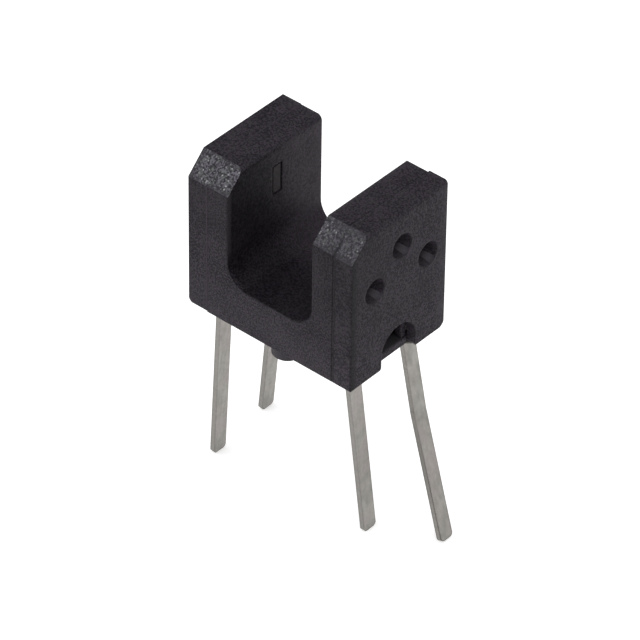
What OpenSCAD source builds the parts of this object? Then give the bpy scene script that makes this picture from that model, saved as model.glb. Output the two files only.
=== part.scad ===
// Slotted optical switch for a circuit board: an infrared diode and a phototransistor
// look at each other through slits across an open gap. Sizes are in millimetres.
// The board's surface is z = 0, X runs across the gap and the chamfered face is at -Y.

/* [Body] */
// width over both end covers
body_w = 9.7; // [9.4:0.1:11]
// depth from the chamfered face to the plain face
body_d = 6.35; // [6.1:0.05:7.5]
// height of both towers above the board
body_h = 8.2; // [7.8:0.1:10]
// free gap between the towers
slot_w = 5; // [4.5:0.1:5.2]
// height of the bridge under the gap
base_h = 2.3; // [1.9:0.1:3]
// corner radius at the foot of the gap
slot_r = 1.2; // [0.5:0.1:1.6]
// chamfer along the front top of both towers
chamfer = 1.05; // [0.6:0.05:1.2]
// radius of the moulded outer edges
edge_r = 0.02; // [0.02:0.01:0.2]
// radius along the emitter tower's top edge at the gap
lip_r = 0.3; // [0.1:0.02:0.4]
// thickness of the tower skin
skin = 0.5; // [0.4:0.05:0.55]
// thickness of the web between the gap and the package
web = 0.5; // [0.45:0.05:0.65]
// thickness of the shelf under each package
shelf = 0.4; // [0.25:0.05:0.6]

/* [Optics] */
// height of the optical axis above the board
axis_z = 6.35; // [5.9:0.05:6.5]
// offset of the optical axis towards the plain face
axis_y = 0.15; // [0:0.05:0.3]
// width of each slit
slit_w = 0.64; // [0.4:0.01:0.9]
// height of each slit
slit_h = 1.6; // [1:0.02:1.8]
// depth of the window face below the mouth of its slit
window_recess = 0.02; // [0.01:0.01:0.2]
// height of the underside of each package above the board
package_z = 2; // [1.6:0.1:2.4]
// edge of the diode chip
led_edge = 0.36; // [0.25:0.01:0.5]
// edge of the phototransistor chip
sensor_edge = 0.6; // [0.4:0.02:0.8]
// thickness of both chips
chip_t = 0.2; // [0.12:0.01:0.25]
// thickness of the bond wires
wire_d = 0.05; // [0.03:0.005:0.06]

/* [End covers] */
// depth of each cover from its seam outwards
cover_t = 1.1; // [0.9:0.05:1.2]
// thickness of the cover's end wall
cover_wall = 0.5; // [0.4:0.05:0.65]
// how far the detector's cover stands proud of the housing
cover_proud = 0.06; // [0.02:0.01:0.08]
// how far the emitter's cover stands proud of the housing
emitter_proud = 0.02; // [0.01:0.01:0.08]
// gap between the feet of each cover and the board
cover_lift = 0.03; // [0.02:0.01:0.2]
// diameter of the cored holes at the end face
hole_d = 1.3; // [1.1:0.05:1.4]
// diameter of the cored holes at their inner end
core_d = 0.95; // [0.7:0.05:1.1]
// distance of the lower holes from the optical axis along the depth
hole_y = 1.8; // [1.6:0.05:1.9]
// drop of the lower holes below the optical axis
hole_drop = 1.5; // [1.3:0.05:1.8]
// radius of the arched lead window
arch_r = 1.16; // [0.7:0.02:1.2]
// height of the arch's centre
arch_z = 0.75; // [0.6:0.01:1]
// offset of the arch towards the plain face
arch_y = 0.06; // [-0.1:0.01:0.2]
// radius of each cover's lower rear corner
foot_r = 0.4; // [0.2:0.05:0.5]
// radius of each cover's lower front corner
toe_r = 0.08; // [0.02:0.02:0.4]
// radius of the feet's corners under the arch
arch_foot_r = 0.15; // [0.05:0.05:0.5]
// radius along the outer top edge of the detector's cover
top_r = 0.27; // [0.05:0.01:0.4]
// radius along the outer lower edge of the emitter's cover
heel_r = 0.36; // [0.05:0.01:0.4]

/* [Leads] */
// ratio of the leads' distance from the web to the room between the web and the end wall
lead_ratio = 0.6; // [0.5:0.01:0.65]
// lead spacing along the depth
pitch_y = 3.81; // [3.5:0.01:4]
// width of each flat lead
lead_w = 0.8; // [0.5:0.02:0.9]
// thickness of each flat lead
lead_t = 0.26; // [0.2:0.01:0.3]
// how far the tips reach below the board
lead_drop = 9.7; // [7:0.1:14]
// corner radius of the tips
tip_r = 0.2; // [0.08:0.02:0.24]
// outward lean of the anode lead's tip
anode_out = 0.83; // [0:0.01:2]
// rearward lean of the anode lead's tip
anode_back = 0.44; // [-1:0.02:1]
// outward lean of the cathode lead's tip
cathode_out = 1.25; // [0:0.01:2]
// rearward lean of the cathode lead's tip
cathode_back = 0.46; // [-1:0.02:1]
// outward lean of the emitter lead's tip
emitter_out = 0.4; // [0:0.05:2]
// rearward lean of the emitter lead's tip
emitter_back = 0.9; // [-1:0.02:1]
// outward lean of the collector lead's tip
collector_out = 3.59; // [0.5:0.01:4]
// rearward lean of the collector lead's tip
collector_back = -1.2; // [-1.6:0.02:1]
// depth of the kink in the collector lead below the board
kink_drop = 3.7; // [2:0.1:5]
// outward lean of the collector lead at its kink
kink_out = 1.24; // [0.2:0.02:1.4]
// rearward lean of the collector lead at its kink
kink_back = -0.56; // [-0.7:0.02:0.4]
// sideways set of the collector lead where it leaves the shelf
collector_set = -0.09; // [-0.15:0.01:0.15]

/* [Locating peg] */
// diameter of the peg under the bridge
peg_d = 1.5; // [0.9:0.05:1.6]
// length of the peg below the board's surface
peg_l = 1.05; // [0.7:0.05:1.8]
// chamfer on the end of the peg
peg_c = 0.06; // [0.05:0.01:0.3]

/* [Clearances] */
// gap between each package and the walls around it
fit = 0.05; // [0.02:0.01:0.08]
// gap between each window and its slit
window_gap = 0.08; // [0.03:0.01:0.12]
// gap beside a lead on the outer side of its shelf slot
lead_gap = 0.15; // [0.1:0.01:0.18]
// gap beside a lead on the inner side of its shelf slot
lead_gap_in = 0.36; // [0.2:0.02:0.4]

/* [Hidden] */
$fn = 48;
eps = 0.02;
past = 2;
seam_r = 0.07;
fine_seam_r = 0.012;
end_x = body_w / 2;
seam_x = end_x - cover_t;
face_y = body_d / 2;
pocket_x0 = slot_w / 2 + web;
pocket_x1 = end_x - cover_wall;
pocket_y = face_y - skin;
pocket_z = body_h - skin;
lead_x = pocket_x0 + lead_ratio * (pocket_x1 - pocket_x0);
lead_y = pitch_y / 2;
pad_x = lead_x - lead_t / 2;
package_x0 = pocket_x0 + fit;
package_back = 0.15;
package_x1 = min(lead_x + lead_t / 2 + package_back, pocket_x1 - fit);
shelf_x1 = pocket_x1 - fit;
shelf_y = pocket_y - fit;
sill_x1 = pocket_x1 + fit;
slot_lo = lead_y - lead_w / 2 - lead_gap_in;
slot_hi = lead_y + lead_w / 2 + lead_gap;
tongue_x0 = lead_x + lead_t / 2 + lead_gap;
tongue_z0 = shelf / 4;
set_z = package_z - 0.4;
boss_wall = 0.3;
boss_d = hole_d + 2 * boss_wall;
hole_spots = [[axis_y, axis_z], [axis_y - hole_y, axis_z - hole_drop], [axis_y + hole_y, axis_z - hole_drop]];
pad = 1.4;
finger_gap = 0.3;
finger_w = 0.5;
finger_y = axis_y - pad / 2 - finger_gap;
finger_mid = (finger_y - lead_y + lead_w / 2) / 2;
rise_ratio = 0.4;
wire_rise = rise_ratio * (pad_x - chip_t - package_x0);
ball_h = 0.04;
ball_d = 2 * wire_d;
black = [0.05, 0.046, 0.052];
cover_black = [0.055, 0.05, 0.056];
epoxy = [0.09, 0.04, 0.06];
tin = [0.68, 0.66, 0.63];
silicon = [0.3, 0.31, 0.35];
gold = [0.9, 0.72, 0.3];

// a 2D outline in (Y, Z), drawn out along X from x0 to x1
module along_x(x0, x1) {
    translate([x0, 0, 0])
        rotate([90, 0, 90])
            linear_extrude(x1 - x0)
                children();
}

// a 2D outline in (X, Z), drawn out along Y from -y1 to y1
module along_y(y1) {
    rotate([90, 0, 0])
        linear_extrude(2 * y1, center = true)
            children();
}

// the waste outside a rounded corner at p, where q points into the outline
module corner_waste(p, q, r) {
    translate(p)
        mirror([q[0] < 0 ? 1 : 0, 0, 0])
            mirror([0, q[1] < 0 ? 1 : 0, 0])
                difference() {
                    translate([-eps, -eps])
                        square(r + eps);
                    translate([r, r])
                        circle(r);
                }
}

// a box outline with its own radius in each corner, from the low corner round
module rounded_box(lo, hi, r00, r10, r11, r01) {
    difference() {
        translate(lo)
            square([hi[0] - lo[0], hi[1] - lo[1]]);
        corner_waste(lo, [1, 1], r00);
        corner_waste([hi[0], lo[1]], [-1, 1], r10);
        corner_waste(hi, [-1, -1], r11);
        corner_waste([lo[0], hi[1]], [1, -1], r01);
    }
}

// everything in (Y, Z) in front of and above a 45 degree line, moved inwards by inset
module chamfer_waste(inset) {
    shift = inset * sqrt(2);
    polygon([
        [-face_y - past, body_h - chamfer - shift - past],
        [-face_y + chamfer + shift + past, body_h + past],
        [-face_y - past, body_h + past]
    ]);
}

// side outline of the towers from height z0 upwards, grown by g
module side_outline(g, z0, r_front, r_rear, r_top) {
    difference() {
        rounded_box([-face_y - g, z0], [face_y + g, body_h + g], r_front, r_rear, r_top, edge_r);
        chamfer_waste(-g);
    }
}

// outline of the space inside a tower, shrunk by g, from height z0 upwards
module pocket_outline(g, z0) {
    difference() {
        translate([-pocket_y + g, z0])
            square([2 * (pocket_y - g), pocket_z - g - z0]);
        chamfer_waste(skin + g);
    }
}

// front outline of the housing between its two seams
module u_outline() {
    half = slot_w / 2;
    difference() {
        rounded_box([-seam_x, 0], [seam_x, body_h], fine_seam_r, seam_r, seam_r, fine_seam_r);
        rounded_box([-half, base_h], [half, body_h + past], slot_r, slot_r, edge_r, edge_r);
        corner_waste([half, body_h], [1, -1], edge_r);
        corner_waste([-half, body_h], [-1, -1], lip_r);
    }
}

// a flat strip in the (Y, Z) plane that hangs down by len and drifts along Y
module strip_outline(len, drift, r) {
    side = lead_w / 2;
    at = drift * (len - r) / len;
    polygon([
        [-side, 0],
        [side, 0],
        [side + at, r - len],
        [side + at - r, r - len],
        [side + at - r, -len],
        [-side + at + r, -len],
        [-side + at + r, r - len],
        [-side + at, r - len]
    ]);
    translate([side + at - r, r - len])
        circle(r);
    translate([-side + at + r, r - len])
        circle(r);
}

// a plain strip that joins two bends
module link_outline(len, drift) {
    side = lead_w / 2;
    polygon([
        [-side, 0],
        [side, 0],
        [side + drift, -len],
        [-side + drift, -len]
    ]);
}

// the round bend where a strip changes its lean
module bend(p) {
    translate(p)
        rotate([90, 0, 0])
            cylinder(h = lead_w, r = lead_t / 2, center = true);
}

// the hanging end of a lead, from the bend at p down to the level of the tips
module hanging(p, out, back) {
    fall = p[2] + lead_drop;
    lean = atan(out / fall);
    len = (fall - lead_t / 2 * sin(lean)) / cos(lean);
    translate(p)
        rotate([0, -lean, 0])
            along_x(-lead_t / 2, lead_t / 2)
                strip_outline(len, back, tip_r);
    bend(p);
}

// lead with the chip's pad, at the plain face, from height z0 upwards
module pad_frame(z0 = 0) {
    along_x(pad_x, pad_x + lead_t) {
        translate([lead_y - lead_w / 2, z0])
            square([lead_w, axis_z + finger_w / 2 - z0]);
        translate([axis_y - pad / 2, axis_z - pad / 2])
            square(pad);
        translate([axis_y, axis_z - finger_w / 2])
            square([lead_y - axis_y, finger_w]);
    }
}

// lead with the bond wire's finger, at the chamfered face, hanging part left out
module finger_frame() {
    along_x(pad_x, pad_x + lead_t) {
        translate([-lead_y - lead_w / 2, 0])
            square([lead_w, axis_z + finger_w / 2]);
        translate([-lead_y, axis_z - finger_w / 2])
            square([finger_y + lead_y, finger_w]);
    }
}

module straight_pad_lead(out, back) {
    pad_frame();
    hanging([lead_x, lead_y, 0], out, back);
}

module straight_finger_lead(out, back) {
    finger_frame();
    hanging([lead_x, -lead_y, 0], out, back);
}

// pad lead with a second bend part of the way down
module kinked_pad_lead() {
    lean = atan(kink_out / kink_drop);
    pad_frame(set_z);
    translate([lead_x, lead_y, set_z])
        along_x(-lead_t / 2, lead_t / 2)
            link_outline(set_z, collector_set);
    bend([lead_x, lead_y + collector_set, 0]);
    translate([lead_x, lead_y + collector_set, 0])
        rotate([0, -lean, 0])
            along_x(-lead_t / 2, lead_t / 2)
                link_outline(kink_drop / cos(lean), kink_back - collector_set);
    hanging([lead_x + kink_out, lead_y + kink_back, -kink_drop],
        collector_out - kink_out, collector_back - kink_back);
}

// chip on the pad, facing the gap
module chip(edge) {
    translate([pad_x - chip_t, axis_y - edge / 2, axis_z - edge / 2])
        cube([chip_t, edge, edge]);
}

// bond wire: a ball on the chip's face, a riser, a level run past the chip's edge
// and a slanting run down to the finger
module bond_wire(edge) {
    half = wire_d / 2;
    x_chip = pad_x - chip_t;
    x_top = x_chip - wire_rise;
    y_knee = axis_y - edge / 2 - half;
    run = y_knee - finger_mid + half;
    fall = pad_x - x_top;
    thick = wire_d * sqrt(run * run + fall * fall) / run;
    translate([x_chip, axis_y, axis_z])
        rotate([0, -90, 0])
            cylinder(h = ball_h, d = ball_d);
    translate([0, 0, axis_z])
        linear_extrude(wire_d, center = true)
            polygon([
                [x_chip, axis_y + half],
                [x_top, axis_y + half],
                [x_top, y_knee],
                [pad_x, finger_mid - half],
                [pad_x, finger_mid - half + thick * run / fall],
                [x_top + wire_d, y_knee + (thick - wire_d) * run / fall],
                [x_top + wire_d, axis_y - half],
                [x_chip, axis_y - half]
            ]);
}

// epoxy block with its window, before the lead frame is let into it
module package_block() {
    along_x(package_x0, package_x1)
        pocket_outline(fit, package_z);
    window = [web + 2 * fit, slit_w - 2 * window_gap, slit_h - 2 * window_gap];
    translate([slot_w / 2 + window_recess, axis_y - window[1] / 2, axis_z - window[2] / 2])
        cube(window);
}

module package(edge) {
    difference() {
        package_block();
        pad_frame();
        finger_frame();
        chip(edge);
        bond_wire(edge);
    }
}

// tongue of the shelf that reaches under the cover, with a sill in the arch
module shelf_tongue() {
    sill = arch_r - fit;
    translate([pocket_x0, -shelf_y, 0])
        cube([shelf_x1 - pocket_x0, 2 * shelf_y, shelf]);
    translate([pocket_x0, arch_y - sill, 0])
        cube([sill_x1 - pocket_x0, 2 * sill, shelf]);
}

// slots in the shelf, open to the end, that let the leads slide in
module lead_slots() {
    for (side = [0, 1])
        mirror([0, side, 0])
            translate([pad_x - lead_gap, slot_lo, -1])
                cube([end_x, slot_hi - slot_lo, shelf + 1 + eps]);
}

// room inside one tower of the housing: package, lead space and slit
module tower_room() {
    along_x(pocket_x0, seam_x + 1)
        pocket_outline(0, shelf);
    translate([slot_w / 2 - 1, axis_y - slit_w / 2, axis_z - slit_h / 2])
        cube([web + 1 + eps, slit_w, slit_h]);
}

module peg() {
    translate([0, -lead_y, 0])
        rotate([180, 0, 0]) {
            cylinder(h = peg_l - peg_c, d = peg_d);
            translate([0, 0, peg_l - peg_c])
                cylinder(h = peg_c, d1 = peg_d, d2 = peg_d - 2 * peg_c);
        }
}

// outer form of the housing between its two seams
module moulded_block() {
    intersection() {
        along_y(face_y + 1)
            u_outline();
        along_x(-seam_x - 1, seam_x + 1)
            side_outline(0, 0, edge_r, edge_r, edge_r);
        linear_extrude(body_h + 1)
            rounded_box([-seam_x, -face_y], [seam_x, face_y], fine_seam_r, seam_r, seam_r, fine_seam_r);
    }
}

module housing() {
    color(black)
        difference() {
            union() {
                difference() {
                    moulded_block();
                    for (side = [0, 1])
                        mirror([side, 0, 0])
                            tower_room();
                }
                for (side = [0, 1])
                    mirror([side, 0, 0])
                        shelf_tongue();
                peg();
            }
            for (side = [0, 1])
                mirror([side, 0, 0])
                    lead_slots();
        }
}

// tapered cores of the holes in a cover
module hole_cores() {
    over = 0.5;
    x0 = package_x1 + fit;
    taper = (hole_d - core_d) / (end_x - x0);
    for (spot = hole_spots)
        translate([x0 - over, spot[0], spot[1]])
            rotate([0, 90, 0])
                cylinder(h = end_x - x0 + 2 * over, d1 = core_d - taper * over, d2 = hole_d + taper * over);
}

// outer form of a cover that stands proud by g, with the radii of its seam,
// its outer top edge and its outer lower edge
module cover_block(g, r_seam, r_top, r_low) {
    r_side = edge_r * 1.5;
    intersection() {
        along_y(face_y + 1)
            rounded_box([seam_x, cover_lift], [end_x, body_h + g], r_seam, r_low, r_top, r_seam);
        along_x(seam_x - 1, end_x + 1)
            side_outline(g, cover_lift, toe_r, foot_r, edge_r * 2);
        translate([0, 0, -1])
            linear_extrude(body_h + 2)
                rounded_box([seam_x, -face_y - g], [end_x, face_y + g], r_seam, r_side, r_side, r_seam);
    }
}

// tongues inside a cover that close the lead slots behind the leads
module tongues() {
    for (side = [0, 1])
        mirror([0, side, 0])
            translate([tongue_x0, slot_lo + fit, tongue_z0])
                cube([max(pocket_x1 - tongue_x0, 0) + eps, slot_hi - slot_lo - 2 * fit, shelf - tongue_z0]);
}

module cover(g, r_seam, r_top, r_low) {
    tongues();
    difference() {
        union() {
            difference() {
                cover_block(g, r_seam, r_top, r_low);
                along_x(seam_x - 1, pocket_x1)
                    pocket_outline(0, -1);
            }
            along_x(package_x1 + fit, pocket_x1 + eps)
                for (spot = hole_spots)
                    translate(spot)
                        circle(d = boss_d);
        }
        hole_cores();
        along_x(pocket_x1 - 1, end_x + 1) {
            translate([arch_y, arch_z])
                circle(arch_r);
            translate([arch_y - arch_r, -1])
                square([2 * arch_r, arch_z + 1]);
            corner_waste([arch_y - arch_r, cover_lift], [-1, 1], arch_foot_r);
            corner_waste([arch_y + arch_r, cover_lift], [1, 1], arch_foot_r);
        }
    }
}

module emitter_cover() {
    color(cover_black)
        mirror([1, 0, 0])
            cover(emitter_proud, fine_seam_r, edge_r, heel_r);
}

module detector_cover() {
    color(cover_black)
        cover(cover_proud, seam_r, top_r, edge_r);
}

module emitter_package() {
    color(epoxy)
        mirror([1, 0, 0])
            package(led_edge);
}

module detector_package() {
    color(epoxy)
        package(sensor_edge);
}

module anode_lead() {
    color(tin)
        mirror([1, 0, 0])
            straight_finger_lead(anode_out, anode_back);
}

module cathode_lead() {
    color(tin)
        mirror([1, 0, 0])
            straight_pad_lead(cathode_out, cathode_back);
}

module collector_lead() {
    color(tin)
        kinked_pad_lead();
}

module emitter_lead() {
    color(tin)
        straight_finger_lead(emitter_out, emitter_back);
}

module led_chip() {
    color(silicon)
        mirror([1, 0, 0])
            chip(led_edge);
}

module phototransistor_chip() {
    color(silicon)
        chip(sensor_edge);
}

module led_bond_wire() {
    color(gold)
        mirror([1, 0, 0])
            bond_wire(led_edge);
}

module phototransistor_bond_wire() {
    color(gold)
        bond_wire(sensor_edge);
}

housing();
emitter_cover();
detector_cover();
emitter_package();
detector_package();
anode_lead();
cathode_lead();
collector_lead();
emitter_lead();
led_chip();
phototransistor_chip();
led_bond_wire();
phototransistor_bond_wire();
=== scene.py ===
import math
from functools import partial, reduce

import bmesh
import bpy
from mathutils import Matrix, Vector


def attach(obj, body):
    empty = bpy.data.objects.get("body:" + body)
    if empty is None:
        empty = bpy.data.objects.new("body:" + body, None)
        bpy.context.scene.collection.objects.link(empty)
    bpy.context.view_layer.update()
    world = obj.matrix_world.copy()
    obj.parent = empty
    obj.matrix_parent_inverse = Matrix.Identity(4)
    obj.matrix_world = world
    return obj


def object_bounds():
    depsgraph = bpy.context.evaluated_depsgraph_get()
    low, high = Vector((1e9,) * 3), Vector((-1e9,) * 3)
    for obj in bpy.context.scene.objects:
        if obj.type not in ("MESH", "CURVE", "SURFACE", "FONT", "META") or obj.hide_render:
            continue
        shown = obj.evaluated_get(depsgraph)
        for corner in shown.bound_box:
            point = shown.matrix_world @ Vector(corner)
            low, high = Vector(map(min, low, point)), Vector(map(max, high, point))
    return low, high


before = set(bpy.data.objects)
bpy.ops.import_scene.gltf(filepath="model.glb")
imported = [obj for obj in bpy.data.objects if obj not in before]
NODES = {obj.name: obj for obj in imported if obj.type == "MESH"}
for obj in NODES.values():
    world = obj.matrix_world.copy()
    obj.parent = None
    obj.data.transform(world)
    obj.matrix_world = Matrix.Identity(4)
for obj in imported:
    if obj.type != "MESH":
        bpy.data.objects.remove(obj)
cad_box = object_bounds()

MM = 0.001

# camera, from the fit to the photograph, with angles in degrees
AZIMUTH, ELEVATION, ROLL = 40.633, 38.951, 0.782
DISTANCE = 245.235 * MM
AIM_RIGHT, AIM_UP, AIM_Z = 0.154 * MM, -3.485 * MM, 4.116 * MM
LENS, SENSOR = 308.19, 36
CLIP_NEAR, CLIP_FAR = 0.01, 20

# floor and room
FLOOR_RADIUS, FLOOR_SIDES = 4, 96
FLOOR_GLOW = 0.46
ROOM_LIGHT = 0.75

# faces and edges of the part, in millimetres
GAP_X = 2.5        # walls of the gap
SEAM_X = 3.75      # joint between housing and covers
END_X = 4.85       # ends of the covers
HOUSING_Y = 3.175  # front and rear of the housing
COVER_Y = 3.235    # front and rear of the covers, a little proud
SHELF_Z = 0.4      # lead shelves inside the arches
BRIDGE_Z = 2.3     # top of the bridge under the gap
CHAMFER_Z = 7.15   # lower edge of the chamfers
TOP_Z = 8.2        # tops of the towers

# box around the holes in the detector cover, in millimetres
HOLES_X, HOLES_Y = 4.0, 2.75
HOLES_LOW_Z, HOLES_TOP_Z = 3.6, 7.1

# directions of the part
FRONT, REAR, END, UP = (0, -1, 0), (0, 1, 0), (1, 0, 0), (0, 0, 1)
CHAMFER_FACE = (0.0, -math.sqrt(0.5), math.sqrt(0.5))
BEND_FACE = (math.sqrt(0.5), 0.0, math.sqrt(0.5))
RIDGE_FACE = (0.0, -0.55, 0.835)

# which side of the part each lead is on, in X and Y
LEADS = {"anode": (-1, -1), "cathode": (-1, 1), "collector": (1, 1), "emitter": (1, -1)}

# fillings beside a lead: two corners and the rounding of the edges, in millimetres
SEAL = (3.55, 1.165, 0.1), (4.05, 1.39, 0.37), 0.06
GUIDE = (3.95, 0.83, SHELF_Z), (4.34, 1.17, 1.6), 0.05

# colours of the black plastic: its grain, painted shade, painted light on lips, rims, bends,
# seams, bores and the peg, and a paler shelf
SHADE_BLACK = (0.0, 0.0, 0.0)
SHADE_DARK = (0.004, 0.0035, 0.0045)
PIT = (0.0095, 0.0072, 0.0115)
VIOLET_GRAIN = (0.037, 0.0285, 0.041)
GREY_GRAIN = (0.032, 0.029, 0.0325)
PAINTED_LIGHT = (0.05, 0.045, 0.053)
PEG_LIGHT = (0.055, 0.05, 0.058)
SHELF_PALE = (0.06, 0.056, 0.061)
GAP_REAR_LIGHT = (0.06, 0.048, 0.062)
EMITTER_SEAM_LIGHT = (0.06, 0.052, 0.064)
BORE_WALL_LIGHT = (0.08, 0.073, 0.085)
BORE_RIDGE_HIGHLIGHT = (0.105, 0.098, 0.111)
LIP_EDGE_HIGHLIGHT = (0.14, 0.12, 0.145)

# colours of the chamfers: grit that is paler partly as painted light, painted glints, and painted
# shade in the seam
CHAMFER_SEAM_SHADE = (0.012, 0.011, 0.014)
CHAMFER_DULL = (0.036, 0.033, 0.039)
GRIT_DARK = (0.024, 0.023, 0.027)
GRIT_VIOLET = (0.124, 0.115, 0.14)
GRIT_GREEN = (0.118, 0.123, 0.126)
GLINT = (0.52, 0.52, 0.54)

# colours of the leads, with painted shade along their edges, and tarnishing with painted shade
# near the body
TIN_DARK = (0.25, 0.241, 0.222)
TIN_LIGHT = (0.328, 0.318, 0.295)
TIN_WARM = (0.3, 0.27, 0.262)
TIN_CUT = (0.235, 0.226, 0.212)
TIN_EDGE_SHADE = (0.045, 0.04, 0.038)
STAIN_AND_SHADE_DARK = (0.042, 0.04, 0.038)
STAIN_AND_SHADE_LIGHT = (0.3, 0.29, 0.28)


def outward(azimuth, elevation):
    """Direction from the part to a place at these angles, in degrees."""
    turn, tilt = math.radians(azimuth), math.radians(elevation)
    level = math.cos(tilt)
    return Vector((math.sin(turn) * level, -math.cos(turn) * level, math.sin(tilt)))


def make_camera():
    back = outward(AZIMUTH, ELEVATION)
    roll = math.radians(ROLL)
    side = (-back).cross(Vector(UP)).normalized()
    rise = side.cross(-back)
    right = math.cos(roll) * side + math.sin(roll) * rise
    up = math.cos(roll) * rise - math.sin(roll) * side
    place = Vector((0, 0, AIM_Z)) + AIM_RIGHT * right + AIM_UP * up + DISTANCE * back
    data = bpy.data.cameras.new("camera")
    data.lens = LENS
    data.sensor_width = SENSOR
    data.clip_start, data.clip_end = CLIP_NEAR, CLIP_FAR
    camera = bpy.data.objects.new("camera", data)
    axes = Matrix((right, up, back)).transposed()
    camera.matrix_world = Matrix.Translation(place) @ axes.to_4x4()
    bpy.context.scene.collection.objects.link(camera)
    bpy.context.scene.camera = camera


class Shader:
    """A node material that is written line by line, over object coordinates in millimetres."""

    def __init__(self, name):
        self.material = bpy.data.materials.new(name)
        self.material.use_nodes = True
        self.tree = self.material.node_tree
        self.tree.nodes.clear()
        out = self.tree.nodes.new("ShaderNodeOutputMaterial")
        self.bsdf = self.tree.nodes.new("ShaderNodeBsdfPrincipled")
        self.tree.links.new(self.bsdf.outputs[0], out.inputs[0])
        self.spot = self.place()

    def put(self, socket, value):
        if isinstance(value, bpy.types.NodeSocket):
            self.tree.links.new(value, socket)
        elif hasattr(socket.default_value, "__len__"):
            length = len(socket.default_value)
            socket.default_value = (tuple(value) + (1.0,))[:length]
        else:
            socket.default_value = value

    def node(self, kind, out=0, props=None, **inputs):
        """An output of a new node. Inputs go by name, or by number as i0, i1 and so on."""
        made = self.tree.nodes.new("ShaderNode" + kind)
        for word, value in (props or {}).items():
            setattr(made, word, value)
        for word, value in inputs.items():
            numbered = word[0] == "i" and word[1:].isdigit()
            self.put(made.inputs[int(word[1:]) if numbered else word.replace("_", " ")], value)
        return made.outputs[out]

    def surface(self, **inputs):
        """The finished material, with these inputs on its shader."""
        for word, value in inputs.items():
            self.put(self.bsdf.inputs[word.replace("_", " ")], value)
        return self.material

    # sums

    def math(self, operation, a, b=0.0):
        return self.node("Math", props={"operation": operation}, i0=a, i1=b)

    def product(self, *factors):
        return reduce(partial(self.math, "MULTIPLY"), factors)

    def total(self, *terms):
        return reduce(partial(self.math, "ADD"), terms)

    def most(self, a, b):
        return self.math("MAXIMUM", a, b)

    def size(self, value):
        return self.math("ABSOLUTE", value)

    def rest(self, share):
        return self.math("SUBTRACT", 1.0, share)

    # ramps

    def ramp(self, value, lo, hi, to_lo=0.0, to_hi=1.0):
        """Smooth step from to_lo to to_hi while value goes from lo to hi."""
        return self.node(
            "MapRange", props={"interpolation_type": "SMOOTHSTEP"},
            Value=value, From_Min=lo, From_Max=hi, To_Min=to_lo, To_Max=to_hi,
        )

    def rising(self, value, lo, hi, peak=1.0):
        return self.ramp(value, lo, hi, 0.0, peak)

    def falling(self, value, lo, hi, peak=1.0):
        return self.ramp(value, lo, hi, peak, 0.0)

    def near(self, value, at, reach):
        """One where value is at, falling to zero a reach away."""
        return self.falling(self.size(self.math("SUBTRACT", value, at)), 0.0, reach)

    # mixtures

    def mix(self, share, a, b):
        """Colour a with a share of colour b."""
        return self.node("Mix", out=2, props={"data_type": "RGBA"}, i0=share, i6=a, i7=b)

    def coat(self, base, colour, *masks, strength=1.0):
        """Base under a colour that shows where all the masks do."""
        return self.mix(self.product(*masks, strength), base, colour)

    def mix_number(self, share, a, b):
        return self.node("Mix", props={"data_type": "FLOAT"}, i0=share, i2=a, i3=b)

    def mix_normal(self, share, a, b):
        return self.node("Mix", out=1, props={"data_type": "VECTOR"}, i0=share, i4=a, i5=b)

    # patterns

    def place(self, stretch=(1, 1, 1)):
        """Object coordinates in millimetres, each times its stretch."""
        metres = self.node("TexCoord", out=3)
        return self.node("Mapping", Vector=metres, Scale=[times / MM for times in stretch])

    def axis(self, number):
        return self.node("SeparateXYZ", out=number, Vector=self.spot)

    def noise(self, scale, detail=2, rough=0.5, spot=None):
        """Noise with about scale blots to the millimetre."""
        spot = self.spot if spot is None else spot
        return self.node("TexNoise", Vector=spot, Scale=scale, Detail=detail, Roughness=rough)

    def mottle(self, scale, detail, lo=0.0, hi=1.0, spread=0.2):
        """Noise that wanders from lo to hi, with harder patches where the spread is small."""
        return self.ramp(self.noise(scale, detail), 0.5 - spread, 0.5 + spread, lo, hi)

    def cells(self, scale, out=0):
        """Distance to the middle of a cell, or the cell's random colour with out=1."""
        return self.node("TexVoronoi", out=out, Vector=self.spot, Scale=scale)

    # faces and edges

    def true_normal(self):
        return self.node("NewGeometry", out=3)

    def dot(self, a, b):
        return self.node("VectorMath", out=1, props={"operation": "DOT_PRODUCT"}, i0=a, i1=b)

    def facing(self, direction):
        """Cosine between the surface and a direction of the part."""
        return self.dot(self.true_normal(), direction)

    def faces(self, direction, both=False):
        """One on the faces that look in a direction, and in its opposite if both."""
        cosine = self.facing(direction)
        return self.rising(self.size(cosine) if both else cosine, 0.9, 0.98)

    def rounded(self, radius, samples):
        """Normal of the surface with its edges rounded by the radius."""
        return self.node("Bevel", props={"samples": samples}, Radius=radius)

    def bump(self, height, distance, normal=None):
        base = {} if normal is None else {"Normal": normal}
        return self.node("Bump", Strength=1.0, Distance=distance, Height=height, **base)


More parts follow.
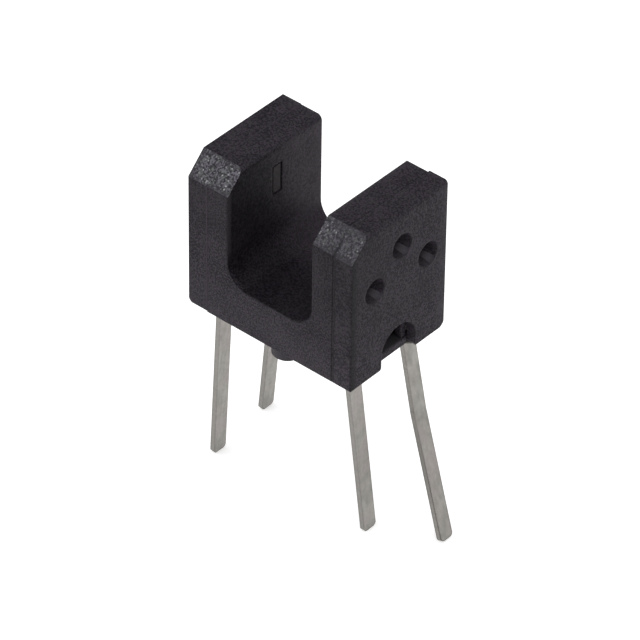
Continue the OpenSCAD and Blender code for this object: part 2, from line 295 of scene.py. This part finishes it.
class Moulding(Shader):
    """Matte black plastic with light and shade painted into its colour by the place on the part.

    The steps from shade to foot take the colour so far and return it with their own coats."""

    def __init__(self, name):
        super().__init__(name)
        self.x, self.y, self.z = (self.axis(number) for number in range(3))
        self.off_x = self.size(self.x)
        self.front, self.end, self.up = (self.faces(way) for way in (FRONT, END, UP))
        self.gap = self.product(
            self.falling(self.off_x, GAP_X, GAP_X + 0.06), self.rest(self.faces(REAR, both=True)),
        )
        self.seam = self.near(self.x, SEAM_X + 0.02, reach=0.18)
        self.cloud = self.noise(0.8, detail=3)
        self.pebble = self.cells(7)
        self.sand = self.noise(9, rough=0.6)

    def plain(self):
        """Fine spark-eroded grain."""
        speck = self.noise(11, rough=0.6)
        mixed = self.total(self.product(self.cloud, 0.2), self.product(speck, 0.8))
        light = self.mix(self.mottle(5, 2, spread=0.1), VIOLET_GRAIN, GREY_GRAIN)
        return self.mix(self.ramp(mixed, 0.43, 0.57), PIT, light)

    def shade(self, colour):
        """Painted shade deep in the gap, towards the detector and towards the top; painted light
        at the foot of the front.
        """
        deep = self.product(
            self.falling(self.y, -1.0, 1.2, peak=0.5),
            self.most(self.rising(self.y, -3.17, -2.85), self.up),
        )
        side = self.product(
            self.rising(self.x, -2.0, 4.0, peak=0.18), self.rising(self.z, 1.2, 2.6),
            self.most(self.front, self.product(self.end, 0.7)),
        )
        colour = self.coat(colour, SHADE_BLACK, self.total(self.product(self.gap, deep), side))
        fore = self.most(self.front, self.product(self.end, self.falling(self.y, -2.5, 0.0)))
        colour = self.coat(colour, SHADE_BLACK, fore, self.rising(self.z, 1.5, 7.0, peak=0.25))
        return self.coat(colour, PAINTED_LIGHT, self.front, self.falling(self.z, 0.8, 2.4, peak=0.16))

    def edges(self, colour):
        """Painted light on the lip, rims, bends and rear of the gap; painted shade in lines along
        the gap and the bridge.
        """
        lip = self.product(
            self.gap, self.rising(self.z, 3.3, 4.3), self.near(self.y, -HOUSING_Y, reach=0.3),
        )
        colour = self.coat(colour, LIP_EDGE_HIGHLIGHT, lip, strength=0.8)
        brink = self.product(
            self.front, self.near(self.x, -GAP_X, reach=0.14), self.rising(self.z, 2.6, 3.4),
        )
        colour = self.coat(colour, SHADE_DARK, brink, strength=0.4)
        sill = self.product(
            self.front, self.near(self.z, BRIDGE_Z + 0.03, reach=0.1),
            self.falling(self.off_x, 1.2, 1.7),
        )
        colour = self.coat(colour, SHADE_DARK, sill, strength=0.8)
        rim = self.most(
            self.near(self.x, GAP_X, reach=0.35), self.near(self.y, HOUSING_Y, reach=0.4),
        )
        rim = self.product(rim, self.up, self.rising(self.z, TOP_Z - 0.2, TOP_Z - 0.1))
        rear_end = self.product(self.end, self.near(self.y, HOUSING_Y, reach=0.7))
        colour = self.coat(colour, PAINTED_LIGHT, self.most(rim, rear_end), strength=0.3)
        colour = self.coat(colour, GAP_REAR_LIGHT, self.gap, self.rising(self.y, -0.4, 1.6, peak=0.28))
        bend = self.rising(self.facing(BEND_FACE), 0.8, 0.97, peak=0.22)
        return self.coat(colour, PAINTED_LIGHT, bend, self.rest(self.gap))

    def seam_and_corner_shading(self, colour):
        """Painted shade along the detector seam and the upright corner, and painted light along
        the emitter seam.
        """
        corner = self.total(
            self.product(self.near(self.x, END_X, reach=0.1), self.front, 0.6),
            self.product(self.near(self.y, 0.1 - COVER_Y, reach=0.42), self.end),
        )
        seam_and_corner_shade = self.most(self.product(self.seam, self.front), self.product(corner, 0.8))
        colour = self.coat(colour, SHADE_DARK, seam_and_corner_shade)
        return self.coat(colour, EMITTER_SEAM_LIGHT, self.near(self.x, -SEAM_X, reach=0.05))

    def bores(self, colour):
        """Painted light on the walls of the detector cover's holes, most where they face up, and a
        painted highlight along a ridge of the walls.
        """
        bore = self.product(
            self.rising(self.z, HOLES_LOW_Z - 0.2, HOLES_LOW_Z),
            self.falling(self.z, HOLES_TOP_Z, HOLES_TOP_Z + 0.2),
            self.rising(self.x, HOLES_X - 0.1, HOLES_X),
            self.falling(self.size(self.y), HOLES_Y, HOLES_Y + 0.1),
            self.rest(self.end),
        )
        lit = self.ramp(self.facing(UP), 0.6, 0.95, to_lo=0.1, to_hi=0.35)
        colour = self.coat(colour, BORE_WALL_LIGHT, bore, lit)
        ridge = self.product(
            self.faces(RIDGE_FACE), self.rising(self.x, 4.1, 4.5),
            self.ramp(self.x, 4.65, END_X, to_lo=1.0, to_hi=0.3),
        )
        return self.coat(colour, BORE_RIDGE_HIGHLIGHT, bore, ridge)

    def foot(self, colour):
        """Paler up-facing lead shelves, and painted light on the locating peg below the board's
        surface.
        """
        shelf = self.product(
            self.near(self.z, SHELF_Z, reach=0.06),
            self.rising(self.off_x, SEAM_X - 0.05, SEAM_X + 0.15), self.up,
        )
        colour = self.coat(colour, SHELF_PALE, shelf)
        return self.coat(colour, PEG_LIGHT, self.falling(self.z, -0.1, -0.02, peak=0.7))

    def chamfer(self):
        """Coarse grit, paler than the faces partly as painted light, with painted glints; duller
        towards the ends and edges of the chamfer and towards the detector, with painted shade in
        the seam.
        """
        light = self.mix(self.mottle(4, 2, spread=0.1), GRIT_VIOLET, GRIT_GREEN)
        grit = self.mix(self.ramp(self.sand, 0.4, 0.61), GRIT_DARK, light)
        # painted glints: bright dots in random cells
        shine = self.node("SeparateColor", Color=self.cells(7, out=1))
        glint = self.product(self.falling(self.pebble, 0.05, 0.45), self.rising(shine, 0.45, 0.95))
        ragged = self.total(self.z, self.mottle(3.5, 3, lo=-0.12, hi=0.12))
        kept = self.product(
            self.ramp(self.x, -END_X, -4.4, to_lo=0.3, to_hi=1.0),
            self.ramp(self.x, -3.5, 4.8, to_lo=1.0, to_hi=0.5),
            self.ramp(ragged, CHAMFER_Z + 0.01, CHAMFER_Z + 0.25, to_lo=0.25, to_hi=1.0),
            self.ramp(ragged, TOP_Z - 0.25, TOP_Z, to_lo=1.0, to_hi=0.45),
        )
        colour = self.coat(grit, GLINT, glint, strength=0.7)
        colour = self.mix(kept, CHAMFER_DULL, colour)
        fading = self.ramp(self.z, CHAMFER_Z + 0.45, TOP_Z - 0.1, to_lo=0.85, to_hi=0.2)
        return self.coat(colour, CHAMFER_SEAM_SHADE, self.seam, fading)


def moulded_plastic(name, edge):
    """Black moulding with rough chamfers, its edges shaded as if rounded by the radius edge."""
    s = Moulding(name)
    colour = s.plain()
    for step in (s.shade, s.edges, s.seam_and_corner_shading, s.bores, s.foot):
        colour = step(colour)
    on_chamfer = s.product(
        s.rising(s.facing(CHAMFER_FACE), 0.93, 0.985),
        s.rising(s.z, CHAMFER_Z - 0.15, CHAMFER_Z - 0.05),
    )
    grain = s.total(s.noise(14), s.product(s.cloud, 0.6))
    fine = s.bump(grain, 0.006 * MM, s.rounded(edge, samples=4))
    coarse = s.bump(s.total(s.pebble, s.product(s.sand, 0.5)), 0.03 * MM)
    return s.surface(
        Base_Color=s.mix(on_chamfer, colour, s.chamfer()),
        Roughness=s.mix_number(on_chamfer, s.mottle(7, 2, lo=0.46, hi=0.6), 0.38),
        Specular_IOR_Level=0.08,
        Normal=s.mix_normal(on_chamfer, fine, coarse),
    )


def tinned(name, stain_and_shade_height, slant, edge):
    """Dull tin plate, streaked along the lead, with painted shade along its edges, by edge at the
    tip.

    Above a given height, which falls by slant per millimetre of depth, it turns dull with
    tarnishing and painted shade."""
    s = Shader(name)
    y, z = s.axis(1), s.axis(2)
    streak = s.noise(5, detail=3, spot=s.place((1, 1, 0.12)))
    patch = s.noise(1.4, detail=3)
    tone = s.ramp(s.total(s.product(streak, 0.5), s.product(patch, 0.5)), 0.35, 0.65)
    skin = s.mix(tone, TIN_DARK, TIN_LIGHT)
    skin = s.coat(skin, TIN_WARM, s.rising(s.noise(0.7), 0.45, 0.62, peak=0.6))
    skin = s.coat(skin, TIN_CUT, s.faces(REAR, both=True))
    # painted shade along the rounded edges of the lead, strongest at the tip
    flat = s.dot(s.rounded(0.14 * MM, samples=6), s.true_normal())
    rim = s.product(s.falling(flat, 0.78, 0.98), s.ramp(z, -7.5, -4.0, to_lo=edge, to_hi=0.25))
    skin = s.coat(skin, TIN_EDGE_SHADE, rim)
    # tarnishing and painted shade on the lead near and inside the body
    level = s.total(z, s.product(y, slant), s.ramp(patch, 0.3, 0.7, to_lo=-0.06, to_hi=0.06))
    stain_and_shade_mask = s.rising(level, stain_and_shade_height, stain_and_shade_height + 0.18)
    stain_and_shade_colour = s.mix(s.rising(z, 0.1, 0.4), STAIN_AND_SHADE_DARK, STAIN_AND_SHADE_LIGHT)
    return s.surface(
        Base_Color=s.mix(stain_and_shade_mask, skin, stain_and_shade_colour),
        Metallic=1.0,
        Roughness=s.mix_number(stain_and_shade_mask, s.mottle(6, 3, lo=0.36, hi=0.52), 0.9),
        Normal=s.bump(s.total(streak, s.noise(22)), 0.004 * MM),
    )


def dark_epoxy():
    """Infrared-pass epoxy, nearly black."""
    s = Shader("dark_epoxy")
    return s.surface(
        Base_Color=s.mix(s.mottle(3, 3), (0.012, 0.0095, 0.0115), (0.02, 0.016, 0.019)),
        Roughness=s.mottle(8, 2, lo=0.35, hi=0.48),
        Specular_IOR_Level=0.08,
        Normal=s.bump(s.noise(12, detail=3), 0.003 * MM),
    )


def slot_resin():
    """Grey potting resin with a dull, uneven skin."""
    s = Shader("slot_resin")
    return s.surface(
        Base_Color=s.mix(s.mottle(5, 3), (0.06, 0.055, 0.06), (0.095, 0.088, 0.093)),
        Roughness=s.mottle(9, 2, lo=0.5, hi=0.7),
        Specular_IOR_Level=0.2,
        Normal=s.bump(s.noise(12, detail=3), 0.005 * MM),
    )


def silicon():
    """Polished chip."""
    s = Shader("semiconductor")
    return s.surface(
        Base_Color=s.mix(s.ramp(s.cells(14), 0.1, 0.5), (0.22, 0.23, 0.28), (0.34, 0.35, 0.4)),
        Metallic=0.6,
        Roughness=s.mottle(20, 2, lo=0.15, hi=0.3),
    )


def gold():
    """Drawn gold wire."""
    s = Shader("gold")
    return s.surface(
        Base_Color=s.mix(s.noise(30), (0.85, 0.6, 0.22), (0.95, 0.75, 0.35)),
        Metallic=1.0,
        Roughness=s.mottle(40, 2, lo=0.2, hi=0.35),
    )


def light_table():
    """Matt white sheet that is lit from below."""
    s = Shader("floor_white")
    white = s.mix(s.noise(0.02), (0.9, 0.9, 0.9), (0.93, 0.93, 0.93))
    return s.surface(
        Base_Color=white,
        Roughness=0.9,
        Specular_IOR_Level=0.1,
        Emission_Color=white,
        Emission_Strength=FLOOR_GLOW,
    )


def paint(material, *names):
    for name in names:
        for slot in NODES[name].material_slots:
            slot.material = material


def rounded_block(name, lo, hi, radius, mirror, material):
    """Block between two corners, with a flat foot and its other edges rounded."""
    lo, hi = Vector(lo) * MM, Vector(hi) * MM
    form = bmesh.new()
    bmesh.ops.create_cube(form, size=1)
    bmesh.ops.scale(form, vec=hi - lo, verts=form.verts)
    edges = [edge for edge in form.edges if max(vert.co.z for vert in edge.verts) > 0]
    bmesh.ops.bevel(
        form, geom=edges, offset=radius * MM, segments=3, profile=0.5, affect="EDGES",
    )
    bmesh.ops.translate(form, vec=(lo + hi) / 2 * mirror, verts=form.verts)
    mesh = bpy.data.meshes.new(name)
    form.to_mesh(mesh)
    form.free()
    mesh.materials.append(material)
    block = bpy.data.objects.new(name, mesh)
    bpy.context.scene.collection.objects.link(block)
    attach(block, "root")


def make_fillings(resin, plastic):
    """At each lead a dab of resin in its slot and a guide rib on the shelf beside it."""
    for lead, sides in LEADS.items():
        mirror = Vector((*sides, 1))
        rounded_block("seal_" + lead, *SEAL, mirror, resin)
        rounded_block("guide_" + lead, *GUIDE, mirror, plastic)


def make_stage():
    bpy.ops.mesh.primitive_circle_add(
        vertices=FLOOR_SIDES, radius=FLOOR_RADIUS, fill_type="NGON", location=(0, 0, cad_box[0].z),
    )
    floor = bpy.context.object
    floor.name = "floor"
    floor.data.materials.append(light_table())
    world = bpy.data.worlds.new("studio")
    world.use_nodes = True
    sky = world.node_tree.nodes["Background"]
    sky.inputs[0].default_value = (1, 1, 1, 1)
    sky.inputs[1].default_value = ROOM_LIGHT
    bpy.context.scene.world = world


def soft_light(name, azimuth, elevation, distance, size, watts):
    back = outward(azimuth, elevation)
    data = bpy.data.lights.new(name, "AREA")
    data.shape = "DISK"
    data.size = size
    data.energy = watts
    lamp = bpy.data.objects.new(name, data)
    lamp.location = back * distance
    lamp.rotation_mode = "QUATERNION"
    lamp.rotation_quaternion = back.to_track_quat("Z", "Y")
    bpy.context.scene.collection.objects.link(lamp)


make_camera()
paint(moulded_plastic("housing_plastic", edge=0.14 * MM), "housing")
cover_plastic = moulded_plastic("cover_plastic", edge=0.12 * MM)
paint(cover_plastic, "emitter_cover", "detector_cover")
paint(dark_epoxy(), "emitter_package", "detector_package")
make_fillings(slot_resin(), cover_plastic)
clean_tin = tinned("tinned_lead", stain_and_shade_height=-0.05, slant=0.0, edge=0.35)
paint(clean_tin, "anode_lead", "cathode_lead", "emitter_lead")
paint(tinned("tinned_lead_stained_and_shaded", stain_and_shade_height=0.46, slant=0.6, edge=0.9), "collector_lead")
paint(silicon(), "led_chip", "phototransistor_chip")
paint(gold(), "led_bond_wire", "phototransistor_bond_wire")
make_stage()
soft_light("overhead", azimuth=0, elevation=90, distance=0.9, size=1.2, watts=1.5)
soft_light("front_left", azimuth=-35, elevation=40, distance=0.7, size=0.9, watts=1.5)
bpy.context.scene.view_settings.view_transform = "Standard"
